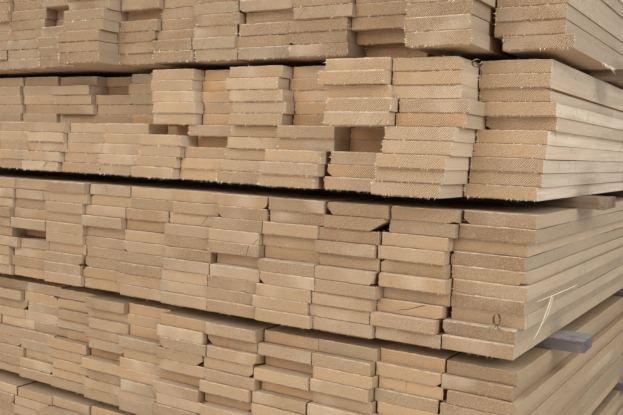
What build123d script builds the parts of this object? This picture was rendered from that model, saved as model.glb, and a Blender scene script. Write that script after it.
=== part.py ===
from build123d import *
import os
import random

# A stack of rough sawn softwood boards, as a timber yard keeps it: five tiers of boards
# laid flat and close together, each tier carried on thin cross spacers.
# +X runs to the right along the ends that face the viewer, +Y along the boards and
# away from those ends, +Z up. The origin is on the ground under the middle of the stack.
# Tiers and courses count from the ground, boards from the right-hand corner.

# The boards
board_width = 120.0
board_thickness = [22.0, 23.0, 23.0, 22.0, 22.0]
board_length = 4000.0
tiers = 5
courses = 10
boards_across = 14

# How tightly the boards lie: seat is the play under each board, and the gap beside a
# board lies between the two side gaps
seat = 0.2
side_gap_low = 0.8
side_gap_high = 4.2
thinner_at_most = 0.5
narrower_at_most = 2.0
end_scatter = 4.5
length_scatter = 12.0

# The cross spacers, one row of them in the bay under each tier. All are of one length, and
# slide is how far those of a bay lie to the right of where they would sit evenly.
bay_height = [22.0, 22.0, 22.0, 22.0, 13.0]
spacer_width = [90.0, 100.0, 78.0, 115.0, 95.0]
spacer_slide = [-16.0, -12.0, 0.0, 7.0, 46.0]
spacer_overhang = 40.0
spacers_per_bay = 6
spacer_from_front = [260.0, 300.0, 248.0, 330.0, 345.0]
spacer_from_back = 300.0
spacer_corner = 14.0

# How far the right-hand edge of each course lies from that of a perfectly straight
# stack, to the right, bottom course first
course_shift = [
    [-26, -28, -24, -26, -23, -25, -22, -24, -20, -18],
    [-24, -22, -20, -21, -20, -20, -19, -18, -22, -18],
    [-22, -19, -10, -12, -10, -15, -16, -14, -1, -1],
    [-4, 2, 6, 8, 9, 10, 13, 9, 8, 8],
    [34, 30, 31, 33, 31, 34, 36, 33, 35, 34],
]

# How far the ends that face the viewer stand out, for the lower five and the upper five
# courses of each tier, right-hand corner first
stand_out = [
    [
        [-6, 4, -4, 2, 8, -6, 0, 6, -4, 4, -6, 2, 5, -4],
        [-8, 2, 4, -2, 6, -4, 2, -8, -16, -18, -18, -14, -18, -12],
    ],
    [
        [2, 2, 14, 18, 30, 24, 4, -8, -24, -38, -36, -42, -38, -44],
        [2, -7, 11, 14, 18, 21, 2, -10, -36, -42, -42, -46, -40, -44],
    ],
    [
        [-15, 10, 18, 24, 18, 16, 4, -4, 0, -6, 2, -4, 6, -2],
        [-15, 2, 12, 12, 10, 0, -2, -4, 4, -2, 6, 0, -6, 2],
    ],
    [
        [-18, 73, 22, 44, 2, -12, 4, -14, -18, -10, -22, -16, -20, -12],
        [-18, 55, 66, -20, 14, -24, 2, -66, -72, -60, -70, -64, -58, -62],
    ],
    [
        [0, 80, -22, 12, 2, 6, -8, 0, 52, 6, -4, -6, 4, -2],
        [4, 70, -8, 10, 4, 8, -4, 6, 40, 2, -6, 4, -2, 6],
    ],
]

# Runs of boards that stand further out or lie deeper than the rest of their column:
# tier, first course, last course, board, stand-out
set_apart = [
    (5, 10, 10, 3, 12),
    (5, 3, 5, 3, -4),
    (5, 1, 1, 3, -48),
    (5, 4, 4, 5, -8),
    (5, 5, 5, 8, -24),
    (5, 1, 2, 7, 8),
    (5, 5, 6, 10, -34),
    (4, 9, 9, 3, 82),
    (4, 3, 3, 2, 84),
    (4, 6, 7, 3, 78),
    (4, 4, 5, 3, -40),
    (4, 4, 5, 4, 16),
    (4, 5, 5, 5, 3),
    (4, 9, 10, 6, -34),
    (4, 4, 4, 6, -42),
    (4, 5, 5, 7, -70),
    (4, 9, 10, 9, -112),
    (4, 10, 10, 10, -76),
    (4, 6, 6, 10, -74),
    (4, 5, 5, 1, -20),
    (4, 6, 6, 1, -34),
    (3, 1, 1, 1, 4),
    (3, 8, 8, 1, -26),
    (3, 2, 2, 1, -5),
    (3, 5, 5, 2, 16),
    (3, 3, 4, 2, -4),
    (3, 6, 6, 3, 0),
    (3, 3, 4, 3, 20),
    (3, 6, 7, 4, 0),
    (3, 9, 9, 4, 4),
    (3, 5, 5, 4, 26),
    (3, 5, 5, 5, -4),
    (3, 6, 6, 5, 14),
    (3, 5, 7, 6, 6),
    (3, 7, 7, 7, -9),
    (3, 7, 7, 8, 12),
    (3, 9, 10, 9, 8),
    (3, 5, 5, 10, -38),
    (3, 6, 6, 10, 12),
    (2, 10, 10, 1, -18),
    (2, 9, 9, 1, -11),
    (2, 10, 10, 2, -17),
    (2, 10, 10, 3, -2),
    (2, 10, 10, 4, -6),
    (2, 8, 8, 4, -4),
    (2, 7, 7, 4, 20),
    (2, 6, 6, 4, 0),
    (2, 9, 9, 5, 8),
    (2, 4, 4, 5, 12),
    (2, 10, 10, 6, 12),
    (2, 5, 5, 6, 6),
    (2, 9, 10, 7, -20),
    (2, 8, 8, 7, -14),
    (2, 10, 10, 8, -6),
    (2, 9, 9, 8, -18),
    (2, 5, 5, 8, -30),
    (2, 8, 8, 9, -28),
    (2, 9, 9, 11, -32),
    (2, 1, 2, 10, -28),
    (1, 10, 10, 8, -26),
    (1, 9, 9, 9, 20),
]

# Boards nudged sideways off their neighbours:
# tier, first course, last course, board, gap on the right
nudged = [
    (5, 1, 1, 2, 21),
    (5, 2, 3, 2, 10),
    (5, 2, 3, 3, 22),
    (5, 1, 10, 3, 18),
    (4, 3, 3, 4, 10),
    (4, 1, 1, 4, 12),
    (4, 2, 2, 4, 8),
    (3, 10, 10, 2, 5),
    (3, 9, 9, 2, 2),
    (3, 5, 5, 3, 6),
    (3, 2, 2, 2, 9),
    (3, 3, 3, 2, 10),
    (2, 8, 8, 2, 11),
    (2, 7, 7, 2, 8),
    (2, 5, 5, 2, 6),
]

# Boards whose right-hand edge steps out of line with the corner: tier, course, step
corner_step = [
    (5, 1, 10),
    (4, 7, 8),
    (4, 6, 8),
    (3, 1, 2),
    (2, 8, 8),
]

# Boards of other widths: tier, first course, last course, board, width
odd_widths = [
    (5, 1, 10, 1, 111),
    (5, 1, 10, 2, 109),
    (5, 1, 10, 6, 104),
    (5, 1, 10, 7, 103),
    (5, 1, 10, 8, 104),
    (4, 5, 10, 1, 115),
    (4, 2, 4, 1, 118),
    (4, 6, 10, 2, 118),
    (4, 6, 10, 6, 96),
    (4, 1, 5, 6, 110),
    (4, 1, 10, 7, 110),
    (3, 2, 2, 1, 123),
    (3, 3, 9, 1, 125),
    (3, 4, 4, 10, 98),
    (2, 6, 6, 9, 96),
]

# Wane, the sloping edge left where a board was cut next to the bark:
# tier, course, board, side, up or down, width across the board, height
wanes = [
    (5, 2, 4, "left", "down", 14, 9),
    (5, 4, 10, "right", "down", 16, 10),
    (4, 8, 1, "right", "up", 9, 6),
    (4, 10, 2, "right", "up", 7, 9),
    (4, 2, 3, "left", "down", 10, 8),
    (3, 10, 1, "left", "down", 11, 9),
    (3, 10, 3, "left", "down", 12, 15),
    (3, 9, 3, "right", "down", 32, 18),
    (3, 4, 4, "left", "down", 11, 10),
    (3, 9, 5, "left", "down", 15, 14),
    (3, 6, 2, "left", "up", 8, 6),
    (3, 2, 8, "right", "down", 14, 10),
    (2, 9, 5, "left", "down", 14, 12),
    (2, 7, 6, "right", "down", 18, 11),
    (2, 6, 8, "right", "down", 20, 12),
    (2, 8, 11, "right", "down", 17, 11),
    (2, 9, 2, "right", "down", 9, 7),
    (1, 8, 1, "right", "up", 20, 10),
    (1, 3, 4, "left", "down", 16, 11),
    (1, 6, 14, "left", "up", 24, 13),
    (3, 3, 14, "left", "up", 22, 12),
    (5, 7, 14, "left", "up", 18, 12),
]


def picked(rows, *place):
    """The rest of the first row that starts with this place, or nothing."""
    for row in rows:
        if row[: len(place)] == place:
            return row[len(place):]
    return ()


def in_runs(runs, tier, course, board, otherwise):
    """The value of the first run of courses that holds this board."""
    for run_tier, first, last, run_board, value in runs:
        if run_tier == tier and first <= course <= last and run_board == board:
            return value
    return otherwise


def tier_bottom(tier):
    """Height of the top of the spacers that carry this tier."""
    below = sum(bay_height[:tier])
    return below + sum(courses * thickness for thickness in board_thickness[: tier - 1])


def lay_boards():
    """Lay every course from its right-hand corner, board against board."""
    chance = random.Random(11)
    laid = {}
    for tier in range(1, tiers + 1):
        thickness = board_thickness[tier - 1]
        for course in range(1, courses + 1):
            step = picked(corner_step, tier, course)
            right = course_shift[tier - 1][course - 1] + (step[0] if step else 0)
            bottom = tier_bottom(tier) + (course - 1) * thickness + seat
            row = []
            for board in range(1, boards_across + 1):
                gap = chance.uniform(side_gap_low, side_gap_high)
                slimmer = chance.uniform(0, narrower_at_most)
                thinner = chance.uniform(0, thinner_at_most)
                scatter = chance.uniform(-end_scatter, end_scatter)
                length = board_length + chance.uniform(-length_scatter, length_scatter)
                if board > 1:
                    right -= in_runs(nudged, tier, course, board, gap)
                width = in_runs(odd_widths, tier, course, board, board_width) - slimmer
                usual = stand_out[tier - 1][course > courses // 2][board - 1]
                front = scatter - in_runs(set_apart, tier, course, board, usual)
                row.append({
                    "right": right,
                    "left": right - width,
                    "bottom": bottom,
                    "top": bottom + thickness - seat - thinner,
                    "front": front,
                    "length": length,
                    "wane": picked(wanes, tier, course, board),
                })
                right -= width
            laid[tier, course] = row
    return laid


def end_outline(board):
    """Corner points of a board's end, with the wane cut off if it has one."""
    corners = {
        ("left", "down"): (board["left"], board["bottom"]),
        ("right", "down"): (board["right"], board["bottom"]),
        ("right", "up"): (board["right"], board["top"]),
        ("left", "up"): (board["left"], board["top"]),
    }
    points = []
    for (side, level), (x, z) in corners.items():
        if board["wane"][:2] != (side, level):
            points.append((x, z))
            continue
        across, high = board["wane"][2:]
        inward = (x + across if side == "left" else x - across, z)
        upright = (x, z + high if level == "down" else z - high)
        inward_first = (side == "right") == (level == "down")
        points += [inward, upright] if inward_first else [upright, inward]
    return points


boards = lay_boards()
every_board = [board for row in boards.values() for board in row]
middle_y = (
    min(board["front"] for board in every_board)
    + max(board["front"] + board["length"] for board in every_board)
) / 2
stack_width = boards_across * (board_width + (side_gap_low + side_gap_high) / 2)
spacer_length = stack_width + 2 * spacer_overhang
spacer_right = [spacer_overhang + slide for slide in spacer_slide]
middle_x = (max(spacer_right) + min(spacer_right) - spacer_length) / 2

os.makedirs("parts", exist_ok=True)

for (tier, course), row in boards.items():
    with BuildPart() as boards_of_course:
        for board in row:
            with BuildSketch(Plane.XZ.offset(middle_y - board["front"])):
                with BuildLine(Location((-middle_x, 0))):
                    Polyline(*end_outline(board), close=True)
                make_face()
            extrude(amount=-board["length"], clean=False)
    boards_of_course.part.label = f"tier_{tier}_course_{course:02d}"
    export_step(boards_of_course.part, f"parts/{boards_of_course.part.label}.step")

for tier in range(1, tiers + 1):
    bay = bay_height[tier - 1]
    first = spacer_from_front[tier - 1]
    pitch = (board_length - spacer_from_back - first) / (spacers_per_bay - 1)
    middle = spacer_right[tier - 1] - spacer_length / 2 - middle_x
    with BuildPart() as spacers:
        with BuildSketch(Plane.XY.offset(tier_bottom(tier) - bay)):
            for number in range(spacers_per_bay):
                with Locations((middle, first + number * pitch - middle_y)):
                    RectangleRounded(spacer_length, spacer_width[tier - 1], spacer_corner)
        extrude(amount=bay - seat)
    spacers.part.label = f"tier_{tier}_spacers"
    export_step(spacers.part, f"parts/{spacers.part.label}.step")
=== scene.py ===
import math
import random

import bpy
import numpy as np
from mathutils import Euler, Matrix, Vector


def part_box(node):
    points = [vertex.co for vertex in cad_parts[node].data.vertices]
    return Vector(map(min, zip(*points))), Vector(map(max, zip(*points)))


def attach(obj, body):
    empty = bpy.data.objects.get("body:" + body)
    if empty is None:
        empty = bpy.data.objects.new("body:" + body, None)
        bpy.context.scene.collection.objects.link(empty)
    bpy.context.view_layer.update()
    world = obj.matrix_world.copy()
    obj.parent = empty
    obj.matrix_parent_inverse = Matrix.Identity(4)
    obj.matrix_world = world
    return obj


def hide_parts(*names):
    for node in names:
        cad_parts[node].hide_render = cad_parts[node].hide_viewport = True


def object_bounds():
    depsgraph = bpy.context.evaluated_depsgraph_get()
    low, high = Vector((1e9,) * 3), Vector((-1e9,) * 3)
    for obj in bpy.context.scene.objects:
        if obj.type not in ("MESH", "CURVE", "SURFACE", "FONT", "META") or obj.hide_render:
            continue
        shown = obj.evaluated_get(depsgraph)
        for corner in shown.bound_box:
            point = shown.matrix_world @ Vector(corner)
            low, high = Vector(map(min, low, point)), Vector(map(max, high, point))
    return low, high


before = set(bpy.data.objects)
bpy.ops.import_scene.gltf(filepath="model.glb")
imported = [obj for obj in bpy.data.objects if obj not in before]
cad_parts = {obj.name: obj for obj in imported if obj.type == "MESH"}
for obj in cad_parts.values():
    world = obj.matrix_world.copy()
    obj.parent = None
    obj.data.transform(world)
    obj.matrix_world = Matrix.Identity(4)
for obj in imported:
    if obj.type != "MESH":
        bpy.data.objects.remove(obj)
cad_box = [list(corner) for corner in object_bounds()]
bpy.ops.object.select_all(action="DESELECT")

# The view: close to the stack's right-hand corner, a little above its middle, turned left
# so that the board ends fill most of the frame. The corner line stands where the boards of
# a perfectly straight stack would end.
SLIDE_OF_FOURTH_BAY = 0.047
FRONT_OF_FOURTH_BAY = 0.2725
EYE_FROM_CORNER = Vector((0.3435, -1.214, 0.833))
TURN_LEFT = math.radians(31.6)
LOOK_DOWN = math.radians(4.04)
TILT = math.radians(2.02)
fourth_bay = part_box("tier_4_spacers")
corner_line = Vector((
    fourth_bay[1].x - SLIDE_OF_FOURTH_BAY,
    fourth_bay[0].y - FRONT_OF_FOURTH_BAY,
    0.0,
))
bpy.ops.object.camera_add(location=corner_line + EYE_FROM_CORNER)
camera = bpy.context.object
camera.name = "view_of_the_corner"
level_look = Euler((math.pi / 2 - LOOK_DOWN, 0.0, TURN_LEFT)).to_matrix()
camera.rotation_euler = (level_look @ Matrix.Rotation(TILT, 3, "Z")).to_euler()
camera.data.sensor_width = 36.0
camera.data.lens = 45.7
camera.data.clip_start = 0.05
bpy.context.scene.camera = camera


# The boards: rough sawn softwood, 22 or 23 mm thick, cut to length with a coarse saw and laid
# close, ten courses to a tier. Each course is one piece, cut across every so often so that
# its boards can bow, with ragged end edges, lightly broken arrises and a few open seams.
CUT_FROM_END = (0.02, 0.06, 0.12, 0.2, 0.32, 0.5, 0.75, 1.05, 1.4)
LAST_CUT_FROM_END = 1.8
CLEAR_OF_ENDS = 0.004
STEP_ASIDE = 0.003
TOUCHING = 1e-5
WIDTH_EDGE = 0.05
THICKNESS_EDGE = 0.008
POINTS_ACROSS_END = 23
POINTS_UP_END = 6
ARRIS = 0.00028
BOW_UP = 0.0009
BOW_SIDE = 0.0016
CHIPPED = 0.0011
FRAYED = 0.00045
CHIP_SHARE = 0.03
OPEN_SEAM = 0.003
TAPERS_SHUT = 0.04
# Which share of the boards in each tier, from the ground up, has a corner broken off its
# ends, and which share has an open seam, on the outermost column and further in
BROKEN_CORNERS = (0.16, 0.16, 0.13, 0.03, 0.05)
OPEN_ON_SIDE = (0.1, 0.15, 0.35, 0.5, 0.4)
OPEN_FURTHER_IN = 0.12

courses = {}
for node in sorted(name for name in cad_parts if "course" in name):
    cad_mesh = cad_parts[node].data
    corners = np.empty(len(cad_mesh.vertices) * 3)
    cad_mesh.vertices.foreach_get("co", corners)
    corners = corners.reshape(-1, 3)
    spans = sorted(
        (min(corners[v, 0] for v in face.vertices), max(corners[v, 0] for v in face.vertices))
        for face in cad_mesh.polygons
    )
    boards = [list(spans[0])]
    for left, right in spans[1:]:
        if left > boards[-1][1] + TOUCHING:
            boards.append([left, right])
        boards[-1][1] = max(boards[-1][1], right)
    for board in boards:
        from_left, from_right = corners[:, 0] - board[0], board[1] - corners[:, 0]
        own = corners[(from_left > -TOUCHING) & (from_right > -TOUCHING)]
        board.extend((own[:, 1].min(), own[:, 1].max()))
    courses[node] = boards


LAID_OVER = 0.03


def neighbours(node, index):
    """The boards that lie above, below and beside one board."""
    left, right = courses[node][index][:2]
    tier, number = node[:7], int(node[-2:])
    found = [courses[node][i] for i in (index - 1, index + 1) if 0 <= i < len(courses[node])]
    for other in (f"{tier}course_{number - 1:02d}", f"{tier}course_{number + 1:02d}"):
        found += [
            board for board in courses.get(other, [])
            if board[0] < right - LAID_OVER and board[1] > left + LAID_OVER
        ]
    return found


def select_edges(mesh, wanted):
    """Selects in edit mode the edges whose two ends pass a test."""
    bpy.ops.object.mode_set(mode="OBJECT")
    points = mesh.vertices
    mesh.polygons.foreach_set("select", [False] * len(mesh.polygons))
    points.foreach_set("select", [False] * len(points))
    ends = [edge.vertices for edge in mesh.edges]
    picked = [bool(wanted(points[a].co, points[b].co)) for a, b in ends]
    mesh.edges.foreach_set("select", picked)
    bpy.ops.object.mode_set(mode="EDIT")


def cut_up(node):
    """A copy of a course's boards, cut across for bowing and with more points at its ends."""
    piece = bpy.data.objects.new(node + "_boards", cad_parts[node].data.copy())
    bpy.context.scene.collection.objects.link(piece)
    piece.data.materials.clear()
    bpy.context.view_layer.objects.active = piece
    piece.select_set(True)
    bpy.ops.object.mode_set(mode="EDIT")
    bpy.ops.mesh.select_mode(type="EDGE")
    bpy.ops.mesh.select_all(action="SELECT")
    bpy.ops.mesh.remove_doubles(threshold=TOUCHING)
    bpy.ops.mesh.dissolve_limited(angle_limit=math.radians(0.5))
    low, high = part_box(node)
    ends = [y for board in courses[node] for y in board[2:4]]
    cuts = [low.y + d for d in CUT_FROM_END] + [high.y - d for d in CUT_FROM_END]
    cuts += [low.y + LAST_CUT_FROM_END, (low.y + high.y) / 2, high.y - LAST_CUT_FROM_END]
    for along in cuts:
        while min(abs(along - y) for y in ends) < CLEAR_OF_ENDS:
            along += STEP_ASIDE
        bpy.ops.mesh.select_all(action="SELECT")
        bpy.ops.mesh.bisect(plane_co=(0, along, 0), plane_no=(0, 1, 0))
    rims = {round(round(y, 4) + step, 4) for y in ends for step in (-1e-4, 0.0, 1e-4)}

    def on_rim(a, b):
        return abs(a.y - b.y) < TOUCHING and round(a.y, 4) in rims

    mesh = piece.data
    select_edges(mesh, lambda a, b: on_rim(a, b) and abs(a.x - b.x) > WIDTH_EDGE)
    bpy.ops.mesh.subdivide(number_cuts=POINTS_ACROSS_END)
    select_edges(mesh, lambda a, b: on_rim(a, b) and abs(a.z - b.z) > THICKNESS_EDGE)
    bpy.ops.mesh.subdivide(number_cuts=POINTS_UP_END)
    bpy.ops.object.mode_set(mode="OBJECT")
    return piece


def hold_inside(mesh):
    """Keeps a mesh within the solid stack's box."""
    points = np.empty(len(mesh.vertices) * 3)
    mesh.vertices.foreach_get("co", points)
    held = points.reshape(-1, 3).clip(*np.array(cad_box))
    mesh.vertices.foreach_set("co", held.ravel())


def broken_corner(own, rim, outline, chance):
    """How far each end point moves where a board's corner has split away."""
    left, right, bottom, top = outline
    wide, tall = chance.uniform(0.006, 0.017), chance.uniform(0.005, 0.011)
    sideways, level = chance.choice((1, -1)), chance.choice((1, 1, 1, -1))
    in_from_side = own[:, 0] - left if sideways > 0 else right - own[:, 0]
    up_from_edge = own[:, 2] - bottom if level > 0 else top - own[:, 2]
    gone = (1 - in_from_side / wide - up_from_edge / tall).clip(0, 1) * rim / 2
    return np.stack((gone * wide * sideways, gone * 0, gone * tall * level), 1)


def wear(piece, node, seat_above, chance):
    """Bows each board, opens a seam above some, and frays and chips the end edges."""
    mesh = piece.data
    points = np.empty(len(mesh.vertices) * 3)
    mesh.vertices.foreach_get("co", points)
    points = points.reshape(-1, 3)
    outermost = len(courses[node]) - 1
    tier = int(node[5])
    for column, (left, right, front, back) in enumerate(courses[node]):
        mine = (points[:, 0] > left - 1e-4) & (points[:, 0] < right + 1e-4)
        own = points[mine]
        fray = np.random.default_rng(chance.randrange(1 << 30))
        bottom, top = own[:, 2].min(), own[:, 2].max()
        across = (own[:, 0] - left) / (right - left)
        along = own[:, 1] - front
        upper = own[:, 2] > (bottom + top) / 2
        rim = (along < 1e-4) | (own[:, 1] > back - 1e-4)
        edge = (np.abs(across - 0.5) > 0.49) | (own[:, 2] < bottom + 1e-4) | (own[:, 2] > top - 1e-4)
        # Seams: most are tight, some gape by a millimetre or two, taper away to one side of
        # the board and all but close at its end
        open_share = OPEN_ON_SIDE[tier - 1] if column == outermost else OPEN_FURTHER_IN
        open_here = chance.random() < open_share
        gape = chance.uniform(0.3, 1.0) * OPEN_SEAM if open_here else 0.0
        taper = across if chance.random() < 0.5 or column == outermost else 1 - across
        fade = 0.1 + 0.9 * np.cos(along * chance.uniform(2.0, 5.0) + chance.uniform(0, 1)) ** 2
        fade *= np.clip(0.25 + along / TAPERS_SHUT, 0.0, 1.0)
        own[:, 2] += (seat_above - top) * upper
        own[:, 2] -= gape * (0.1 + 0.9 * taper) * fade * upper
        # Bow and cup, alike for all the boards of a column, and each board's own spring
        turn = column * 1.9 + bottom // 0.25
        own[:, 2] += BOW_UP * np.sin(along * 1.9 + turn) * math.sin(turn * 3.1)
        own[:, 2] += BOW_UP * 0.5 * (1 - 4 * (across - 0.5) ** 2) * math.cos(turn * 2.3)
        wave = chance.uniform(0.8, 2.0)
        own[:, 0] += chance.uniform(-1, 1) * BOW_SIDE * np.sin(along * wave + turn)
        # The ends only: a frayed, uneven face, with chips along its edges and not inside it
        ragged = fray.uniform(-FRAYED, FRAYED, own.shape) * rim[:, None]
        inward = np.abs(fray.normal(0, CHIPPED * 0.35, len(own)))
        chips = (fray.random(len(own)) < CHIP_SHARE) * fray.uniform(0.5, 2.2, len(own)) * CHIPPED
        inward = inward * np.where(edge, 1.0, 0.6) + chips * edge
        ragged[:, 1] = inward * rim * np.where(along < 1.0, 1, -1)
        if chance.random() < BROKEN_CORNERS[tier - 1]:
            ragged += broken_corner(own, rim, (left, right, bottom, top), chance)
        points[mine] = own + ragged
    mesh.vertices.foreach_set("co", points.ravel())
    arris = piece.modifiers.new("broken_arris", "BEVEL")
    arris.width = ARRIS
    arris.limit_method = "ANGLE"
    arris.angle_limit = math.radians(38)
    arris.use_clamp_overlap = False
    bpy.ops.object.modifier_apply(modifier="broken_arris")
    hold_inside(mesh)


# For each tier, from the ground up: what the saw and the yard did, in how deep the cross-cut
# scores are and how pale the boards are; how much darker the outermost ones are painted, as
# painted shade at the sides of the stack; and how far the long edges have bleached
SCORED = ((0.0, 0.4), (0.0, 0.5), (0.0, 0.5), (0.5, 1.0), (0.2, 0.65))
PALE = ((0.2, 0.95), (0.2, 0.95), (0.1, 0.74), (0.45, 0.97), (0.0, 0.24))
OUTER_PAINTED_SHADE = (-0.25, -0.25, -0.05, 0.0, 0.0)
BLEACHED = (0.05, 0.05, 0.42, 1.0, 0.7)
# How far back among its neighbours an end takes the full painted recess shade, and a depth
# that means that nothing covers the board
DEEP = 0.06
NEVER = 9.0


def covered_from(node, index):
    """How far in from its two ends each side of a board goes under its neighbours."""
    left, right, front, back = courses[node][index]
    row, tier, number = courses[node], node[:7], int(node[-2:])
    outermost = index in (0, len(row) - 1)
    found = {
        "left": row[index - 1] if index > 0 else None,
        "right": row[index + 1] if index + 1 < len(row) else None,
    }
    for side, other in (("under", number - 1), ("over", number + 1)):
        laid = [] if outermost else courses.get(f"{tier}course_{other:02d}", [])
        laid = sorted(laid, key=lambda b: min(b[1], right) - max(b[0], left))
        found[side] = laid[-1] if laid else None
    return {
        side: (other[2] - front, back - other[3]) if other else (NEVER, NEVER)
        for side, other in found.items()
    }


# What a face knows of its board: where the board is; where its heart lies, with its length
# in the middle place; three random numbers; (scored, ringed, painted recess shade); (end, arris
# lit as a painted highlight, bleached); and (outer, half its height, how far in it is covered)
BOARD_NOTES = (
    "board_place", "board_heart", "board_look", "board_marks", "board_side", "board_open"
)
JUST_INSIDE = 0.006


def note_boards(piece, node, chance):
    """Writes on each face what the wood needs to know of its board."""
    mesh = piece.data
    count = len(mesh.polygons)
    middles, normals, areas = np.empty(count * 3), np.empty(count * 3), np.empty(count)
    mesh.polygons.foreach_get("center", middles)
    mesh.polygons.foreach_get("normal", normals)
    mesh.polygons.foreach_get("area", areas)
    middles, normals = middles.reshape(-1, 3), normals.reshape(-1, 3)
    notes = {name: np.zeros((count, 3)) for name in BOARD_NOTES}
    low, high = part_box(node)
    tier = int(node[5])
    edges = np.array(courses[node])
    # Where two boards touch, a point just inside the face tells whose face it is
    within = middles[:, :1] - JUST_INSIDE * normals[:, :1]
    owner = np.maximum(edges[:, 0] - within, within - edges[:, 1]).argmin(1)
    for index, (left, right, front, back) in enumerate(courses[node]):
        mine = owner == index
        near = middles[:, 1] < (front + back) / 2
        beside = neighbours(node, index)
        # Painted recess shade: the deeper an end stands back among its neighbours, the warmer and more
        # orange its colour is painted
        deep_front = sorted(max(0.0, front - b[2]) for b in beside)[-2] / DEEP
        deep_back = sorted(max(0.0, b[3] - back) for b in beside)[-2] / DEEP
        recess_shade = np.where(near, min(deep_front, 1.0), min(deep_back, 1.0))
        notes["board_place"][mine] = ((left + right) / 2, front, (low.z + high.z) / 2)
        heart_x = chance.uniform(-0.06, 0.06)
        heart_z = chance.choice((-1, 1)) * chance.uniform(0.012, 0.085)
        notes["board_heart"][mine] = (heart_x, back - front, heart_z)
        pale = chance.uniform(*PALE[tier - 1])
        # Painted shade: the outermost boards of a course are painted darker all over
        if index in (0, len(courses[node]) - 1):
            pale += OUTER_PAINTED_SHADE[tier - 1]
        notes["board_look"][mine] = (pale, chance.random(), chance.random())
        ringed = chance.uniform(0.6, 1.0) if chance.random() < 0.12 else chance.uniform(0.05, 0.35)
        scored = chance.uniform(*SCORED[tier - 1])
        notes["board_marks"][mine, 0] = scored
        notes["board_marks"][mine, 1] = ringed
        notes["board_marks"][mine, 2] = recess_shade[mine]
        covers = covered_from(node, index)
        for side, axis, sign in (("left", 0, -1), ("right", 0, 1), ("under", 2, -1), ("over", 2, 1)):
            facing = mine & (normals[:, axis] * sign > 0.8)
            notes["board_open"][facing, 2] = np.where(near, *covers[side])[facing]
        if index in (0, len(courses[node]) - 1):
            outward = -1 if index == 0 else 1
            notes["board_open"][mine & (normals[:, 0] * outward > -0.6), 0] = 1.0
    if node == "tier_5_course_10":
        notes["board_open"][normals[:, 2] > 0.6, 0] = 1.0
    # Small slanting faces are broken arrises and torn rims; the more they face up, the more
    # painted highlight they get, for the light from above
    steep = (np.abs(normals).max(1) < 0.93) & (areas < 4e-4)
    notes["board_side"][:, 0] = np.abs(normals[:, 1]) > 0.75
    notes["board_side"][:, 1] = steep * (0.15 + 0.85 * normals[:, 2].clip(0, 1))
    notes["board_side"][:, 2] = BLEACHED[tier - 1]
    notes["board_open"][:, 1] = (high.z - low.z) / 2
    notes["board_open"][np.abs(normals).max(1) < 0.8, 2] = NEVER
    for name, values in notes.items():
        layer = mesh.attributes.new(name, "FLOAT_VECTOR", "FACE")
        layer.data.foreach_set("vector", values.ravel())


class Bench:
    """Places shader nodes in one tree and joins them, input by input."""

    def __init__(self, tree):
        self.tree = tree

    def put(self, kind, **settings):
        node = self.tree.nodes.new(kind)
        for name, value in settings.items():
            setattr(node, name, value)
        return node

    def feed(self, target, value):
        if isinstance(value, bpy.types.NodeSocket):
            self.tree.links.new(value, target)
        else:
            target.default_value = value

    def calc(self, operation, *values):
        node = self.put("ShaderNodeMath", operation=operation)
        for target, value in zip(node.inputs, values):
            self.feed(target, value)
        return node.outputs[0]

    def vector(self, operation, *values):
        node = self.put("ShaderNodeVectorMath", operation=operation)
        for target, value in zip(node.inputs, values):
            self.feed(target, value)
        return node.outputs["Value" if operation == "LENGTH" else "Vector"]

    def split(self, value):
        node = self.put("ShaderNodeSeparateXYZ")
        self.feed(node.inputs[0], value)
        return node.outputs

    def join(self, x, y, z):
        node = self.put("ShaderNodeCombineXYZ")
        for target, value in zip(node.inputs, (x, y, z)):
            self.feed(target, value)
        return node.outputs[0]

    def note(self, name):
        return self.put("ShaderNodeAttribute", attribute_name=name).outputs["Vector"]

    def noise(self, place, scale, detail=2.0, rough=0.5):
        node = self.put("ShaderNodeTexNoise")
        names = ("Vector", "Scale", "Detail", "Roughness")
        for name, value in zip(names, (place, scale, detail, rough)):
            self.feed(node.inputs[name], value)
        return node.outputs["Fac"]

    def ease(self, value, start, end, low=0.0, high=1.0):
        """Turns start..end into low..high and holds it there beyond them."""
        node = self.put("ShaderNodeMapRange", interpolation_type="SMOOTHSTEP")
        for target, number in zip(node.inputs, (value, start, end, low, high)):
            self.feed(target, number)
        return node.outputs[0]

    def blend(self, share, first, second, way="MIX"):
        node = self.put("ShaderNodeMix", data_type="RGBA", blend_type=way)
        targets = (node.inputs[0], node.inputs[6], node.inputs[7])
        for target, value in zip(targets, (share, first, second)):
            self.feed(target, value)
        return node.outputs[2]

    def times(self, *values):
        result = values[0]
        for value in values[1:]:
            result = self.calc("MULTIPLY", result, value)
        return result

    def shades(self, value, *stops):
        """A colour ramp through (place, colour) stops."""
        node = self.put("ShaderNodeValToRGB")
        ramp = node.color_ramp
        while len(ramp.elements) < len(stops):
            ramp.elements.new(0.5)
        for element, (place, colour) in zip(ramp.elements, stops):
            element.position = place
            element.color = colour
        self.feed(node.inputs[0], value)
        return node.outputs[0]


def new_group(name, wanted, given):
    """A shader node group with its inputs and outputs, and a bench to fill it."""
    group = bpy.data.node_groups.new(name, "ShaderNodeTree")
    for title, kind in wanted:
        group.interface.new_socket(title, in_out="INPUT", socket_type=kind)
    for title, kind in given:
        group.interface.new_socket(title, in_out="OUTPUT", socket_type=kind)
    bench = Bench(group)
    return group, bench, bench.put("NodeGroupInput").outputs, bench.put("NodeGroupOutput").inputs


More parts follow.
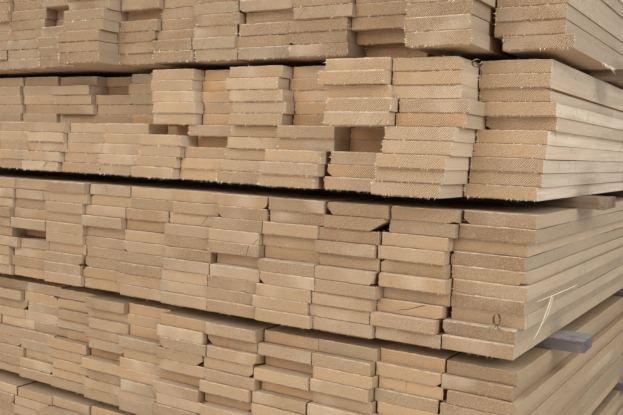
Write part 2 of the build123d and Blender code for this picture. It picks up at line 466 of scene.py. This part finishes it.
# Growth rings round a heart line that runs along Y and wanders a little
growth_rings, b, come, go = new_group(
    "growth_rings",
    (("Place", "NodeSocketVector"), ("Heart", "NodeSocketVector"), ("Seed", "NodeSocketFloat")),
    (("Late wood", "NodeSocketFloat"), ("Ray", "NodeSocketFloat")),
)
rounded = b.vector("SUBTRACT", come["Place"], come["Heart"])
shift = b.join(b.times(come["Seed"], 9.0), b.times(come["Seed"], 5.0), 0.0)
far = b.vector("ADD", come["Place"], shift)
wander = b.noise(b.vector("MULTIPLY", far, (5.0, 0.8, 5.0)), 1.0, 2.0)
wander = b.times(b.calc("SUBTRACT", wander, 0.5), 0.030)
uneven = b.times(b.calc("SUBTRACT", b.noise(far, 45.0, 3.0), 0.5), 0.0018)
x, _, z = b.split(rounded)
x = b.calc("ADD", x, b.calc("ADD", wander, uneven))
z = b.calc("ADD", z, b.calc("ADD", b.times(wander, 0.5), uneven))
radius = b.vector("LENGTH", b.join(x, 0.0, z))
years = b.times(radius, b.ease(come["Seed"], 0.0, 1.0, 190.0, 430.0))
b.feed(go["Late wood"], b.calc("POWER", b.calc("FRACT", years), 2.6))
b.feed(go["Ray"], b.calc("ARCTAN2", z, x))

# Broken fibres: long streaks along Y, fine fuzz, and short torn flecks
torn_fibre, b, come, go = new_group(
    "torn_fibre",
    (("Place", "NodeSocketVector"),),
    (("Streaks", "NodeSocketFloat"), ("Fuzz", "NodeSocketFloat"), ("Flecks", "NodeSocketFloat")),
)
b.feed(go["Streaks"], b.noise(b.vector("MULTIPLY", come["Place"], (230.0, 6.0, 230.0)), 1.0, 3.0, 0.6))
b.feed(go["Fuzz"], b.noise(come["Place"], 460.0, 2.0, 0.65))
flecks = b.noise(b.vector("MULTIPLY", come["Place"], (300.0, 70.0, 300.0)), 1.0, 2.0, 0.6)
b.feed(go["Flecks"], b.ease(flecks, 0.62, 0.74))

# The boards' wood, coloured by the notes on each face
sawn = bpy.data.materials.new("rough_sawn_softwood")
sawn.use_nodes = True
sawn.node_tree.nodes.clear()
b = Bench(sawn.node_tree)
place = b.put("ShaderNodeTexCoord").outputs["Object"]
local = b.vector("SUBTRACT", place, b.note("board_place"))
look = b.note("board_look")
tone, warmth, seed = b.split(look)
own = b.vector("ADD", local, b.vector("MULTIPLY", look, (31.0, 17.0, 23.0)))
scored, ringed, recess_shade = b.split(b.note("board_marks"))
end, arris, bleached = b.split(b.note("board_side"))
outer, half_height, covered = b.split(b.note("board_open"))
long_side = b.calc("SUBTRACT", 1.0, end)
rings = b.put("ShaderNodeGroup", node_tree=growth_rings)
for name, value in (("Place", local), ("Heart", b.note("board_heart")), ("Seed", seed)):
    b.feed(rings.inputs[name], value)
fibre = b.put("ShaderNodeGroup", node_tree=torn_fibre)
b.feed(fibre.inputs["Place"], own)

# Cross-cut scores on the ends: slanting lines, deeper in some places than in others
SCORE_PITCH = 0.0028
x, y, z = b.split(local)
slant = b.calc("SUBTRACT", b.times(x, 0.75), b.times(z, 0.66))
slant = b.calc("ADD", slant, b.times(b.noise(own, 55.0, 2.0), 0.0020))
scores = b.calc("SINE", b.times(slant, math.tau / SCORE_PITCH))
patchy = b.times(
    b.ease(b.noise(own, 17.0, 2.0), 0.3, 0.62, 0.35, 1.15),
    b.ease(b.noise(own, 300.0, 1.0), 0.36, 0.58, 0.1, 1.35),
    b.ease(x, -0.052, -0.012, 0.45, 1.0),
)
scores = b.times(scores, patchy, scored, end)

# The colour of the ends, with a painted warm orange shade where they stand back in a recess
end_hue = b.shades(
    warmth,
    (0.0, (0.375, 0.260, 0.158, 1)),
    (0.22, (0.385, 0.256, 0.145, 1)),
    (0.5, (0.365, 0.232, 0.124, 1)),
    (0.75, (0.355, 0.218, 0.114, 1)),
    (1.0, (0.445, 0.318, 0.198, 1)),
)
end_hue = b.blend(b.times(recess_shade, recess_shade, 0.85), end_hue, (0.70, 0.31, 0.095, 1))
end_hue = b.blend(b.ease(recess_shade, 0.02, 0.4, 0.0, 0.5), end_hue, (0.47, 0.265, 0.12, 1))
# Painted shade: the ends of the outermost columns are painted darker still
shaded_outer_end_hue = b.blend(bleached, (0.26, 0.155, 0.078, 1), (0.335, 0.21, 0.112, 1))
end_hue = b.blend(b.times(outer, 0.75), end_hue, shaded_outer_end_hue)

# The colour of the long faces: bleached outside and near the ends, browner inside
bleached = b.times(bleached, b.calc("ADD", b.times(outer, 0.45), 0.55))
edge_hue = b.blend(bleached, (0.375, 0.262, 0.150, 1), (0.61, 0.515, 0.41, 1))
edge_hue = b.blend(b.times(b.ease(warmth, 0.2, 1.0), 0.3), edge_hue, (0.36, 0.25, 0.15, 1))
board_length = b.split(b.note("board_heart"))[1]
from_end = b.calc("MINIMUM", y, b.calc("SUBTRACT", board_length, y))
weathered = b.calc("MAXIMUM", outer, b.ease(from_end, 0.2, 0.1))
upward = b.split(b.put("ShaderNodeNewGeometry").outputs["Normal"])[2]
underside = b.ease(upward, -0.4, -0.8)
edge_hue = b.blend(weathered, (0.52, 0.28, 0.115, 1), edge_hue)
edge_hue = b.blend(underside, edge_hue, (0.50, 0.28, 0.125, 1))
colour = b.blend(end, edge_hue, end_hue)
paleness = b.blend(tone, (0.62, 0.62, 0.62, 1), (1.2, 1.2, 1.2, 1))
colour = b.blend(1.0, colour, paleness, "MULTIPLY")

# Growth rings, blotches, grey stain, streaks and fuzz
ring_depth = b.calc("ADD", b.times(end, ringed, 0.75), b.times(long_side, ringed, 0.28))
colour = b.blend(b.times(rings.outputs["Late wood"], ring_depth), colour, (0.25, 0.125, 0.055, 1))
blotch = b.noise(b.vector("MULTIPLY", own, (15.0, 4.0, 15.0)), 1.0, 3.0)
blotch = b.ease(blotch, 0.38, 0.68, 0.0, 0.34)
colour = b.blend(blotch, colour, b.blend(end, (0.36, 0.255, 0.162, 1), (0.355, 0.235, 0.13, 1)))
bright = b.noise(b.vector("MULTIPLY", own, (9.0, 2.2, 9.0)), 1.0, 2.0)
bright = b.times(b.ease(bright, 0.5, 0.72, 0.0, 0.3), b.ease(seed, 0.2, 0.9, 0.6, 1.6))
colour = b.blend(bright, colour, b.blend(end, (0.60, 0.49, 0.36, 1), (0.58, 0.475, 0.35, 1)))
stain = b.noise(b.vector("ADD", own, (7.0, 3.0, 5.0)), 15.0, 3.0)
stain = b.times(b.ease(stain, 0.56, 0.70, 0.0, 0.42), b.ease(seed, 0.45, 0.9))
colour = b.blend(stain, colour, (0.285, 0.222, 0.165, 1))
streaks = b.times(b.ease(fibre.outputs["Streaks"], 0.42, 0.72, 0.0, 0.26), long_side)
colour = b.blend(streaks, colour, (0.33, 0.235, 0.145, 1))
colour = b.blend(b.times(fibre.outputs["Flecks"], 0.3), colour, (0.62, 0.52, 0.40, 1))
fuzz = b.ease(fibre.outputs["Fuzz"], 0.42, 0.62, 0.0, 0.22)
colour = b.blend(fuzz, colour, (0.56, 0.42, 0.29, 1))
colour = b.blend(b.ease(scores, 0.0, 0.8, 0.0, 0.62), colour, (0.175, 0.095, 0.045, 1))
colour = b.blend(b.ease(scores, 0.0, -0.8, 0.0, 0.5), colour, (0.70, 0.56, 0.40, 1))

# Knots, mostly on the long faces, each with a darker halo
cells = b.put("ShaderNodeTexVoronoi")
b.feed(cells.inputs["Vector"], b.vector("MULTIPLY", own, (11.0, 8.0, 21.0)))
b.feed(cells.inputs["Scale"], 1.0)
knotty = b.ease(b.split(cells.outputs["Color"])[0], 0.80, 0.82)
knot_edge = b.calc("ADD", cells.outputs["Distance"], b.times(b.noise(own, 170.0, 2.0), 0.06))
on_long = b.times(b.calc("SUBTRACT", 1.0, b.times(end, 0.85)), knotty)
knot = b.times(b.ease(knot_edge, 0.055, 0.085, 1.0, 0.0), on_long)
halo = b.times(b.ease(knot_edge, 0.08, 0.2, 1.0, 0.0), on_long)
colour = b.blend(b.times(halo, 0.35), colour, (0.36, 0.22, 0.11, 1))
colour = b.blend(b.times(knot, 0.85), colour, (0.13, 0.062, 0.03, 1))

# Dark nicks across the grain and dull patches, on the sides that lie open
scuffed = b.ease(b.noise(own, 9.0, 2.0), 0.46, 0.64)
nicks = b.noise(b.vector("MULTIPLY", own, (60.0, 260.0, 70.0)), 1.0, 1.0, 0.5)
nicks = b.times(b.ease(nicks, 0.67, 0.71), scuffed, long_side, outer)
colour = b.blend(b.times(nicks, 0.85), colour, (0.10, 0.062, 0.038, 1))
dulled = b.noise(b.vector("MULTIPLY", own, (9.0, 3.0, 40.0)), 1.0, 3.0)
dulled = b.times(b.ease(dulled, 0.5, 0.66, 0.0, 0.4), long_side, outer)
colour = b.blend(dulled, colour, (0.35, 0.295, 0.205, 1))

# Drying checks that follow the rays on a few ends
check_way = b.calc("SUBTRACT", rings.outputs["Ray"], b.times(b.calc("SUBTRACT", tone, 0.5), 5.0))
check_way = b.calc("ADD", check_way, b.times(b.noise(own, 80.0, 2.0), 0.05))
check = b.ease(b.calc("ABSOLUTE", check_way), 0.004, 0.012, 1.0, 0.0)
check = b.times(check, b.ease(warmth, 0.80, 0.84), b.ease(b.noise(own, 30.0), 0.42, 0.5), end)
colour = b.blend(b.times(check, 0.8), colour, (0.07, 0.035, 0.018, 1))

# Sawdust and a painted highlight on what faces up close to the front ends: paler there
dust_and_front_light = b.times(b.ease(y, 0.01, 0.07, 1.0, 0.0), b.ease(upward, 0.8, 0.9))
dust_and_front_light = b.times(dust_and_front_light, b.ease(bleached, 0.03, 0.2, 0.3, 1.0))
colour = b.blend(b.times(dust_and_front_light, 0.7), colour, (0.68, 0.57, 0.46, 1))

# Painted highlight: a pale line along the upper rim of each end and on arrises that face up,
# where the fuzzy torn fibres catch the light, broken up in places
to_top = b.calc("SUBTRACT", half_height, z)
torn = b.noise(b.vector("MULTIPLY", own, (90.0, 90.0, 260.0)), 1.0, 4.0, 0.85)
torn = b.ease(torn, 0.36, 0.66, 0.1, 1.0)
rim = b.times(b.ease(to_top, 0.0004, 0.0016, 1.0, 0.0), torn, end)
rim = b.calc("MAXIMUM", rim, b.times(arris, torn))
colour = b.blend(b.times(rim, 0.8), colour, (0.72, 0.57, 0.40, 1))
# Painted shade: a dark line along the lower edge of each end, where the seam below lies in shade
under = b.times(b.ease(b.calc("ADD", half_height, z), 0.0, 0.0022, 0.75, 0.0), end)
colour = b.blend(under, colour, (0.15, 0.055, 0.018, 1))

# Painted shade: where a board's side goes in among its neighbours, it is painted dark brown
# for the shade in the narrow gaps between the boards
crevice_shade = b.ease(b.calc("SUBTRACT", from_end, covered), 0.0, 0.004, 0.0, 0.9)
colour = b.blend(b.times(crevice_shade, long_side), colour, (0.20, 0.075, 0.022, 1))

# Relief: scores and pores on the ends, combed fibres and saw wash along the boards
WASH_PITCH = 0.0075
wash = b.calc("ADD", y, b.times(b.noise(own, 20.0), 0.01))
wash = b.calc("SINE", b.times(wash, math.tau / WASH_PITCH))
end_relief = b.times(b.calc("ADD", b.times(scores, -0.55), fibre.outputs["Fuzz"]), end)
side_relief = b.calc("ADD", b.times(wash, 0.10), fibre.outputs["Streaks"])
side_relief = b.calc("ADD", side_relief, b.times(fibre.outputs["Fuzz"], 0.5))
relief = b.calc("ADD", end_relief, b.times(side_relief, long_side))
relief = b.calc("SUBTRACT", relief, b.calc("ADD", b.times(check, 2.0), nicks))
bump = b.put("ShaderNodeBump")
bump.inputs["Strength"].default_value = 0.8
bump.inputs["Distance"].default_value = 0.0007
b.feed(bump.inputs["Height"], relief)
wood = b.put("ShaderNodeBsdfPrincipled")
b.feed(wood.inputs["Base Color"], colour)
b.feed(wood.inputs["Roughness"], b.ease(fibre.outputs["Fuzz"], 0.3, 0.7, 0.78, 0.92))
wood.inputs["Specular IOR Level"].default_value = 0.22
b.feed(wood.inputs["Normal"], bump.outputs["Normal"])
b.feed(b.put("ShaderNodeOutputMaterial").inputs["Surface"], wood.outputs[0])

chance = random.Random(4)
for node in courses:
    course = cut_up(node)
    above = f"{node[:-2]}{int(node[-2:]) + 1:02d}"
    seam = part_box(above)[0].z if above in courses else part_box(node)[1].z
    wear(course, node, seam, chance)
    note_boards(course, node, chance)
    course.data.materials.append(sawn)
    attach(course, "root")
    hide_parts(node)
    course.select_set(False)


# The spacers: thin softwood sticks laid across under each tier, used many times and gone
# grey, with dust and a painted highlight on their tops, worn corners and a shadow of old wood
# in the grain.
STICK_WEAR = 0.0022
STICK_ROUGH = 0.0009
STICK_CUTS = 14


def stick_wood(name, dark, middle, pale, dusty_lit_top):
    """Old spacer wood: patches, combed grain along the stick, and dust with a painted highlight on
    what faces up.
    """
    wood = bpy.data.materials.new(name)
    wood.use_nodes = True
    wood.node_tree.nodes.clear()
    b = Bench(wood.node_tree)
    place = b.put("ShaderNodeTexCoord").outputs["Object"]
    x, y, z = b.split(place)
    fibre = b.put("ShaderNodeGroup", node_tree=torn_fibre)
    b.feed(fibre.inputs["Place"], b.join(y, x, z))
    patches = b.noise(b.vector("MULTIPLY", place, (6.0, 16.0, 16.0)), 1.0, 3.0)
    colour = b.shades(patches, (0.3, dark), (0.5, middle), (0.7, pale))
    streaks = b.ease(fibre.outputs["Streaks"], 0.45, 0.7, 0.0, 0.55)
    colour = b.blend(streaks, colour, [0.4 * value for value in dark[:3]] + [1])
    colour = b.blend(b.ease(fibre.outputs["Fuzz"], 0.45, 0.7, 0.0, 0.25), colour, pale)
    upward = b.split(b.put("ShaderNodeNewGeometry").outputs["Normal"])[2]
    # Dust and a painted highlight: what faces up is painted paler
    dust_and_top_light = b.ease(b.noise(place, 60.0, 3.0), 0.3, 0.6, 0.35, 0.85)
    colour = b.blend(b.times(dust_and_top_light, b.ease(upward, 0.5, 0.9)), colour, dusty_lit_top)
    bump = b.put("ShaderNodeBump")
    bump.inputs["Strength"].default_value = 0.9
    bump.inputs["Distance"].default_value = 0.0009
    height = b.calc("ADD", fibre.outputs["Streaks"], b.times(fibre.outputs["Fuzz"], 0.5))
    b.feed(bump.inputs["Height"], height)
    shader = b.put("ShaderNodeBsdfPrincipled")
    b.feed(shader.inputs["Base Color"], colour)
    b.feed(shader.inputs["Roughness"], b.ease(fibre.outputs["Fuzz"], 0.3, 0.7, 0.7, 0.9))
    shader.inputs["Specular IOR Level"].default_value = 0.3
    b.feed(shader.inputs["Normal"], bump.outputs["Normal"])
    b.feed(b.put("ShaderNodeOutputMaterial").inputs["Surface"], shader.outputs[0])
    return wood


greyed = stick_wood(
    "greyed_stick",
    (0.098, 0.076, 0.078, 1), (0.140, 0.112, 0.112, 1), (0.230, 0.185, 0.165, 1),
    (0.34, 0.315, 0.31, 1),
)
browned = stick_wood(
    "browned_stick",
    (0.105, 0.062, 0.034, 1), (0.165, 0.105, 0.062, 1), (0.255, 0.180, 0.115, 1),
    (0.33, 0.26, 0.19, 1),
)

for node in sorted(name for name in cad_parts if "spacers" in name):
    sticks = bpy.data.objects.new(node + "_sticks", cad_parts[node].data.copy())
    bpy.context.scene.collection.objects.link(sticks)
    sticks.data.materials.clear()
    bpy.context.view_layer.objects.active = sticks
    sticks.select_set(True)
    bpy.ops.object.mode_set(mode="EDIT")
    bpy.ops.mesh.select_all(action="SELECT")
    bpy.ops.mesh.remove_doubles(threshold=TOUCHING)
    bpy.ops.mesh.dissolve_limited(angle_limit=math.radians(2))
    low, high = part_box(node)
    for cut in range(1, STICK_CUTS):
        across = low.x + (high.x - low.x) * cut / STICK_CUTS
        bpy.ops.mesh.select_all(action="SELECT")
        bpy.ops.mesh.bisect(plane_co=(across, 0, 0), plane_no=(1, 0, 0))
    bpy.ops.object.mode_set(mode="OBJECT")
    points = np.empty(len(sticks.data.vertices) * 3)
    sticks.data.vertices.foreach_get("co", points)
    points = points.reshape(-1, 3)
    scatter = np.random.default_rng(int(node[5]))
    worn = scatter.uniform(-STICK_ROUGH, STICK_ROUGH, points.shape)
    worn[:, 2] = -np.abs(worn[:, 2]) * np.sign(points[:, 2] - (low.z + high.z) / 2)
    points = (points + worn).clip(np.array(low), np.array(high))
    sticks.data.vertices.foreach_set("co", points.ravel())
    rounding = sticks.modifiers.new("worn_corners", "BEVEL")
    rounding.width = STICK_WEAR
    rounding.segments = 2
    rounding.limit_method = "ANGLE"
    rounding.angle_limit = math.radians(40)
    bpy.ops.object.modifier_apply(modifier="worn_corners")
    hold_inside(sticks.data)
    sticks.data.materials.append(browned if int(node[5]) > 3 else greyed)
    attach(sticks, "root")
    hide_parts(node)
    sticks.select_set(False)


# Torn fibres and loose bits: the cross-cut saw left short tufts round the ends, and a few
# long slivers and curled shavings hang where they caught. All are the boards' own wood.
TUFT_LENGTH = 0.0078
TUFT_WIDTH = 0.0012
# The tufts on one board end, tier by tier from the ground up, and how many times more there
# are along the lowest course, where the saw came out
TUFTS_ON_END = (3, 3, 6, 15, 10)
FRINGE = 3


def fibre_wood(name, dark, middle, pale):
    """Clean or browned wood of splinters and shavings, mottled and fuzzy."""
    wood = bpy.data.materials.new(name)
    wood.use_nodes = True
    wood.node_tree.nodes.clear()
    b = Bench(wood.node_tree)
    place = b.put("ShaderNodeTexCoord").outputs["Object"]
    fibre = b.put("ShaderNodeGroup", node_tree=torn_fibre)
    b.feed(fibre.inputs["Place"], place)
    colour = b.shades(b.noise(place, 120.0, 2.0), (0.35, dark), (0.5, middle), (0.65, pale))
    colour = b.blend(b.ease(fibre.outputs["Fuzz"], 0.4, 0.65, 0.0, 0.4), colour, dark)
    bump = b.put("ShaderNodeBump")
    bump.inputs["Strength"].default_value = 0.6
    bump.inputs["Distance"].default_value = 0.0003
    b.feed(bump.inputs["Height"], fibre.outputs["Fuzz"])
    shader = b.put("ShaderNodeBsdfPrincipled")
    b.feed(shader.inputs["Base Color"], colour)
    b.feed(shader.inputs["Roughness"], b.ease(fibre.outputs["Fuzz"], 0.3, 0.7, 0.7, 0.9))
    shader.inputs["Specular IOR Level"].default_value = 0.25
    b.feed(shader.inputs["Normal"], bump.outputs["Normal"])
    b.feed(b.put("ShaderNodeOutputMaterial").inputs["Surface"], shader.outputs[0])
    return wood


pale_fibre = fibre_wood(
    "torn_pale_fibre", (0.43, 0.29, 0.17, 1), (0.60, 0.46, 0.31, 1), (0.74, 0.62, 0.47, 1)
)
fresh_fibre = fibre_wood(
    "fresh_split_fibre", (0.66, 0.52, 0.37, 1), (0.82, 0.71, 0.56, 1), (0.88, 0.80, 0.67, 1)
)
curled_brown = fibre_wood(
    "curled_brown_fibre", (0.050, 0.024, 0.011, 1), (0.10, 0.052, 0.026, 1), (0.30, 0.20, 0.12, 1)
)


def finish_bit(piece, wood=pale_fibre):
    """Gives a loose bit its wood, and lets it ride with the stack."""
    piece.data.materials.append(wood)
    hold_inside(piece.data)
    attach(piece, "root")
    piece.select_set(False)


def spikes(name, roots, wood=pale_fibre):
    """One thin three-sided spike, copied with its foot a little way into each root."""
    bpy.ops.mesh.primitive_cone_add(vertices=3, radius1=0.5, radius2=0.0, depth=1.0)
    piece = bpy.context.object
    piece.name = name
    shape = np.array([vertex.co for vertex in piece.data.vertices]) + (0, 0, 0.35)
    sides = [tuple(face.vertices) for face in piece.data.polygons]
    points, faces = [], []
    for foot, way, size in roots:
        turn = np.array(Vector(way).to_track_quat("Z", "X").to_matrix())
        faces += [tuple(v + 4 * len(points) for v in side) for side in sides]
        points.append(shape * size @ turn.T + np.array(foot))
    mesh = bpy.data.meshes.new(name)
    mesh.from_pydata(np.concatenate(points), [], faces)
    piece.data = mesh
    finish_bit(piece, wood)


EDGE_WAYS = {"under": (0, -1), "over": (0, 1), "left": (-1, 0), "right": (1, 0)}
EDGE_SHARES = (0.62, 0.1, 0.14, 0.14)
for tier, tufts in enumerate(TUFTS_ON_END, 1):
    scatter = np.random.default_rng(100 + tier)
    roots = []
    for node in sorted(name for name in courses if name.startswith(f"tier_{tier}_")):
        low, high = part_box(node)
        ends = [
            (left, right, outward, plane)
            for left, right, front, back in courses[node]
            for outward, plane in ((-1, front), (1, back))
            for _ in range(scatter.poisson(tufts * (FRINGE if node.endswith("_01") else 1)))
        ]
        for left, right, outward, plane in ends:
            edge = scatter.choice(list(EDGE_WAYS), p=EDGE_SHARES)
            across = scatter.uniform(left + 0.002, right - 0.002)
            level = scatter.uniform(low.z + 0.002, high.z - 0.002)
            x, z = {
                "under": (across, low.z + 0.0006),
                "over": (across, high.z - 0.0006),
                "left": (left + 0.0008, level),
                "right": (right - 0.0008, level),
            }[edge]
            lean = outward * scatter.uniform(0.1, 0.5)
            swing = scatter.uniform(-0.6, 0.6, 2)
            way = (EDGE_WAYS[edge][0] + swing[0], lean, EDGE_WAYS[edge][1] + swing[1])
            size = (
                TUFT_WIDTH * scatter.uniform(0.5, 1.3),
                TUFT_WIDTH * scatter.uniform(0.3, 0.6),
                TUFT_LENGTH * scatter.uniform(0.25, 1.0) ** 1.5,
            )
            roots.append(((x, plane + outward * 0.0002, z), way, size))
    spikes(f"tier_{tier}_torn_tufts", roots, fresh_fibre if tier > 3 else pale_fibre)

# Long torn fibres that hang from the lower right edge of the top tier
HANGING_FIBRES = 240
scatter = np.random.default_rng(7)
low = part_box("tier_5_course_01")[0]
edge_x = courses["tier_5_course_01"][-1][1]
spikes("torn_lower_edge", [
    (
        (edge_x - 0.0008, low.y + scatter.uniform(0.28, 0.85), low.z + 0.0008),
        (scatter.uniform(0.0, 0.5), scatter.uniform(-1.2, 1.2), scatter.uniform(-0.8, -0.1)),
        (0.0022, 0.0009, scatter.uniform(0.006, 0.022)),
    )
    for _ in range(HANGING_FIBRES)
], fresh_fibre)


def sliver(name, path, width, thick, tip, wood=fresh_fibre):
    """A splinter drawn out of a thin section along a path, narrowing to its tip."""
    path = [corner_line + Vector(point) for point in path]
    lie = (path[-1] - path[0]).to_track_quat("Z", "X").to_euler()
    bpy.ops.mesh.primitive_plane_add(size=1.0, location=path[0], rotation=lie)
    piece = bpy.context.object
    piece.name = name
    piece.scale = (width, thick, 1.0)
    bpy.ops.object.transform_apply(location=True, rotation=True, scale=True)
    bpy.ops.object.mode_set(mode="EDIT")
    bpy.ops.mesh.select_all(action="SELECT")
    narrowing = tip ** (1 / (len(path) - 1))
    for start, end in zip(path, path[1:]):
        bpy.ops.mesh.extrude_region_move(TRANSFORM_OT_translate={"value": end - start})
        bpy.ops.transform.resize(value=(narrowing,) * 3, center_override=end)
    bpy.ops.mesh.select_all(action="SELECT")
    bpy.ops.mesh.normals_make_consistent(inside=False)
    bpy.ops.object.mode_set(mode="OBJECT")
    rounding = piece.modifiers.new("soft_bends", "SUBSURF")
    rounding.levels = 2
    rounding.render_levels = 2
    bpy.ops.object.modifier_apply(modifier="soft_bends")
    finish_bit(piece, wood)


SHAVING_THICK = 0.0013
SHAVING_STEPS = 20


def shaving(name, middle, radius, width, turned, stretch):
    """A curl of thin wood: one thin section spun round the way a plane iron rolls it."""
    middle = corner_line + Vector(middle)
    rim = middle + Vector((radius, 0, 0))
    bpy.ops.mesh.primitive_plane_add(size=1.0, location=rim)
    piece = bpy.context.object
    piece.name = name
    piece.scale = (SHAVING_THICK, width, 1.0)
    bpy.ops.object.transform_apply(location=True, rotation=True, scale=True)
    bpy.ops.object.mode_set(mode="EDIT")
    bpy.ops.mesh.select_all(action="SELECT")
    bpy.ops.mesh.spin(steps=SHAVING_STEPS, angle=turned, center=middle, axis=(0, -1, 0))
    bpy.ops.mesh.select_all(action="SELECT")
    bpy.ops.transform.resize(value=stretch, center_override=middle)
    bpy.ops.mesh.normals_make_consistent(inside=False)
    bpy.ops.object.mode_set(mode="OBJECT")
    finish_bit(piece, curled_brown)


# Places are given from the corner line, so that each bit lies where it caught
sliver(
    "hanging_sliver_long",
    (
        (-0.004, 0.1455, 0.6041), (-0.001, 0.123, 0.594), (0.001, 0.085, 0.5728),
        (0.0, 0.0593, 0.5556), (-0.004, 0.0435, 0.5436),
    ),
    0.0062, 0.0020, 0.3,
)
sliver(
    "hanging_sliver_short",
    (
        (-0.006, 0.165, 0.6000), (-0.002, 0.132, 0.5865), (0.001, 0.104, 0.5700),
        (-0.005, 0.086, 0.5600),
    ),
    0.0030, 0.0014, 0.35,
)
sliver(
    "hanging_sliver_thin",
    (
        (-0.004, 0.3385, 0.5976), (-0.001, 0.1996, 0.6017), (0.0, 0.1024, 0.6046),
        (-0.004, 0.0463, 0.6051),
    ),
    0.0020, 0.0012, 0.7,
)
sliver(
    "splinter_under_top_tier",
    ((-1.1558, 0.004, 1.1092), (-1.146, 0.0, 1.1132), (-1.1323, -0.004, 1.1214)),
    0.0012, 0.0008, 0.5,
)
sliver(
    "shaving_tail",
    (
        (-0.0770, -0.058, 0.9720), (-0.0735, -0.063, 0.9655), (-0.0742, -0.060, 0.9580),
        (-0.0752, -0.056, 0.9500),
    ),
    0.0020, 0.0009, 0.5, curled_brown,
)
for name, way_out in (("loop_tail_left", -1), ("loop_tail_right", 1)):
    sliver(
        name,
        (
            (-0.0500 - way_out * 0.001, -0.0025, 0.5700),
            (-0.0500 + way_out * 0.003, -0.0035, 0.5650),
            (-0.0500 + way_out * 0.006, -0.0025, 0.5605),
        ),
        0.0022, 0.0012, 0.5, curled_brown,
    )
shaving(
    "curled_shaving",
    (-0.0800, -0.066, 0.9740), 0.0064, 0.0040, math.radians(300), (1.2, 1.0, 0.9),
)
shaving(
    "looped_shaving",
    (-0.0505, -0.0020, 0.5775), 0.0050, 0.0060, math.radians(350), (1.05, 1.0, 1.8),
)


# Floor and light: a pale studio floor under large soft lamps above, in front, at the right
# and behind, and an even pale sky, so that every side of the stack can be seen.
bpy.ops.mesh.primitive_plane_add(size=24.0, location=(0, 0, 0))
floor = bpy.context.object
floor.name = "studio_floor"
floor_paint = bpy.data.materials.new("pale_floor")
floor_paint.use_nodes = True
paint = floor_paint.node_tree.nodes["Principled BSDF"]
paint.inputs["Base Color"].default_value = (0.8, 0.8, 0.79, 1)
paint.inputs["Roughness"].default_value = 0.9
floor.data.materials.append(floor_paint)


def soft_light(name, place, target, size, watts, colour):
    """A round soft lamp, turned to its target."""
    bpy.ops.object.light_add(type="AREA", location=place)
    lamp = bpy.context.object
    lamp.name = name
    lamp.data.shape = "DISK"
    lamp.data.size = size
    lamp.data.energy = watts
    lamp.data.color = colour
    way = Vector(target) - Vector(place)
    lamp.rotation_euler = way.to_track_quat("-Z", "Y").to_euler()


MIDDLE_OF_STACK = (0, 0, 0.6)
NEAR_CORNER = (0.9, -1.9, 0.9)
soft_light("side_window", (3.6, -3.5, 2.5), NEAR_CORNER, 2.2, 74.0, (1.0, 0.98, 0.95))
soft_light("front_window", (-0.4, -6.6, 3.1), MIDDLE_OF_STACK, 4.5, 160.0, (1.0, 0.98, 0.95))
soft_light("roof_light", (0.5, -1.0, 6.0), MIDDLE_OF_STACK, 5.0, 157.0, (1.0, 0.99, 0.98))
soft_light("back_window", (-5.0, 6.0, 4.5), MIDDLE_OF_STACK, 4.0, 200.0, (0.97, 0.98, 1.0))

world = bpy.data.worlds.new("studio")
bpy.context.scene.world = world
world.use_nodes = True
sky = world.node_tree.nodes["Background"]
sky.inputs["Color"].default_value = (1.0, 0.985, 0.96, 1)
sky.inputs["Strength"].default_value = 0.5
bpy.context.scene.view_settings.view_transform = "Standard"
